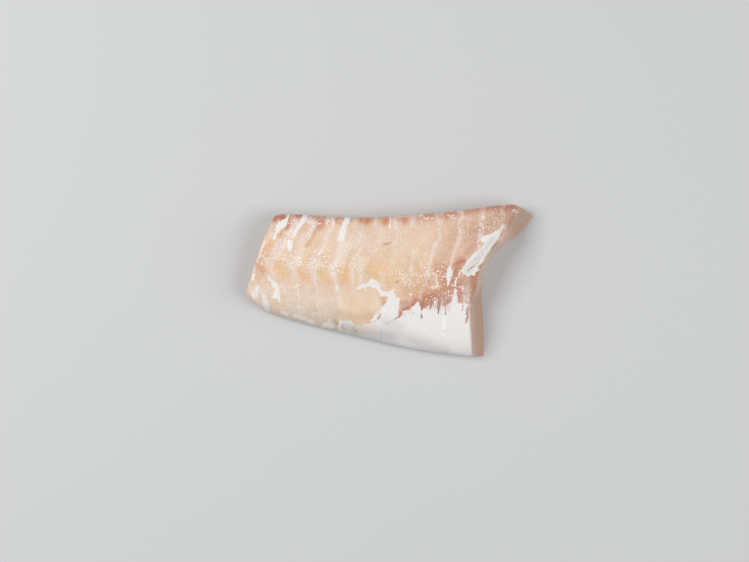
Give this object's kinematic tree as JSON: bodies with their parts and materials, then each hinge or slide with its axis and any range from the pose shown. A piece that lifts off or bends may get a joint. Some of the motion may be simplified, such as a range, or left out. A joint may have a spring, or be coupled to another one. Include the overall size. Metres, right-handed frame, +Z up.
{
  "type": "cod fillet",
  "caption": "Raw skinless cod fillet portion lying flesh side up, thick along the back, rounded down to a thin belly edge, with chevron flakes and a concave, bevelled head cut.",
  "frame": {"origin": "centre of the bounding box in plan, at the flat underside", "axes": "+X along the length from the tail cut to the head cut, +Y across from the belly edge to the back edge, +Z up out of the flesh side"},
  "size_m": [0.1772, 0.0938, 0.0263],
  "materials": {
    "fish_flesh": "wet raw flesh, cream to pink, with opaque white membrane patches"
  },
  "bodies": {
    "root": {"cod_fillet": "fish_flesh"}
  },
  "joints": []
}
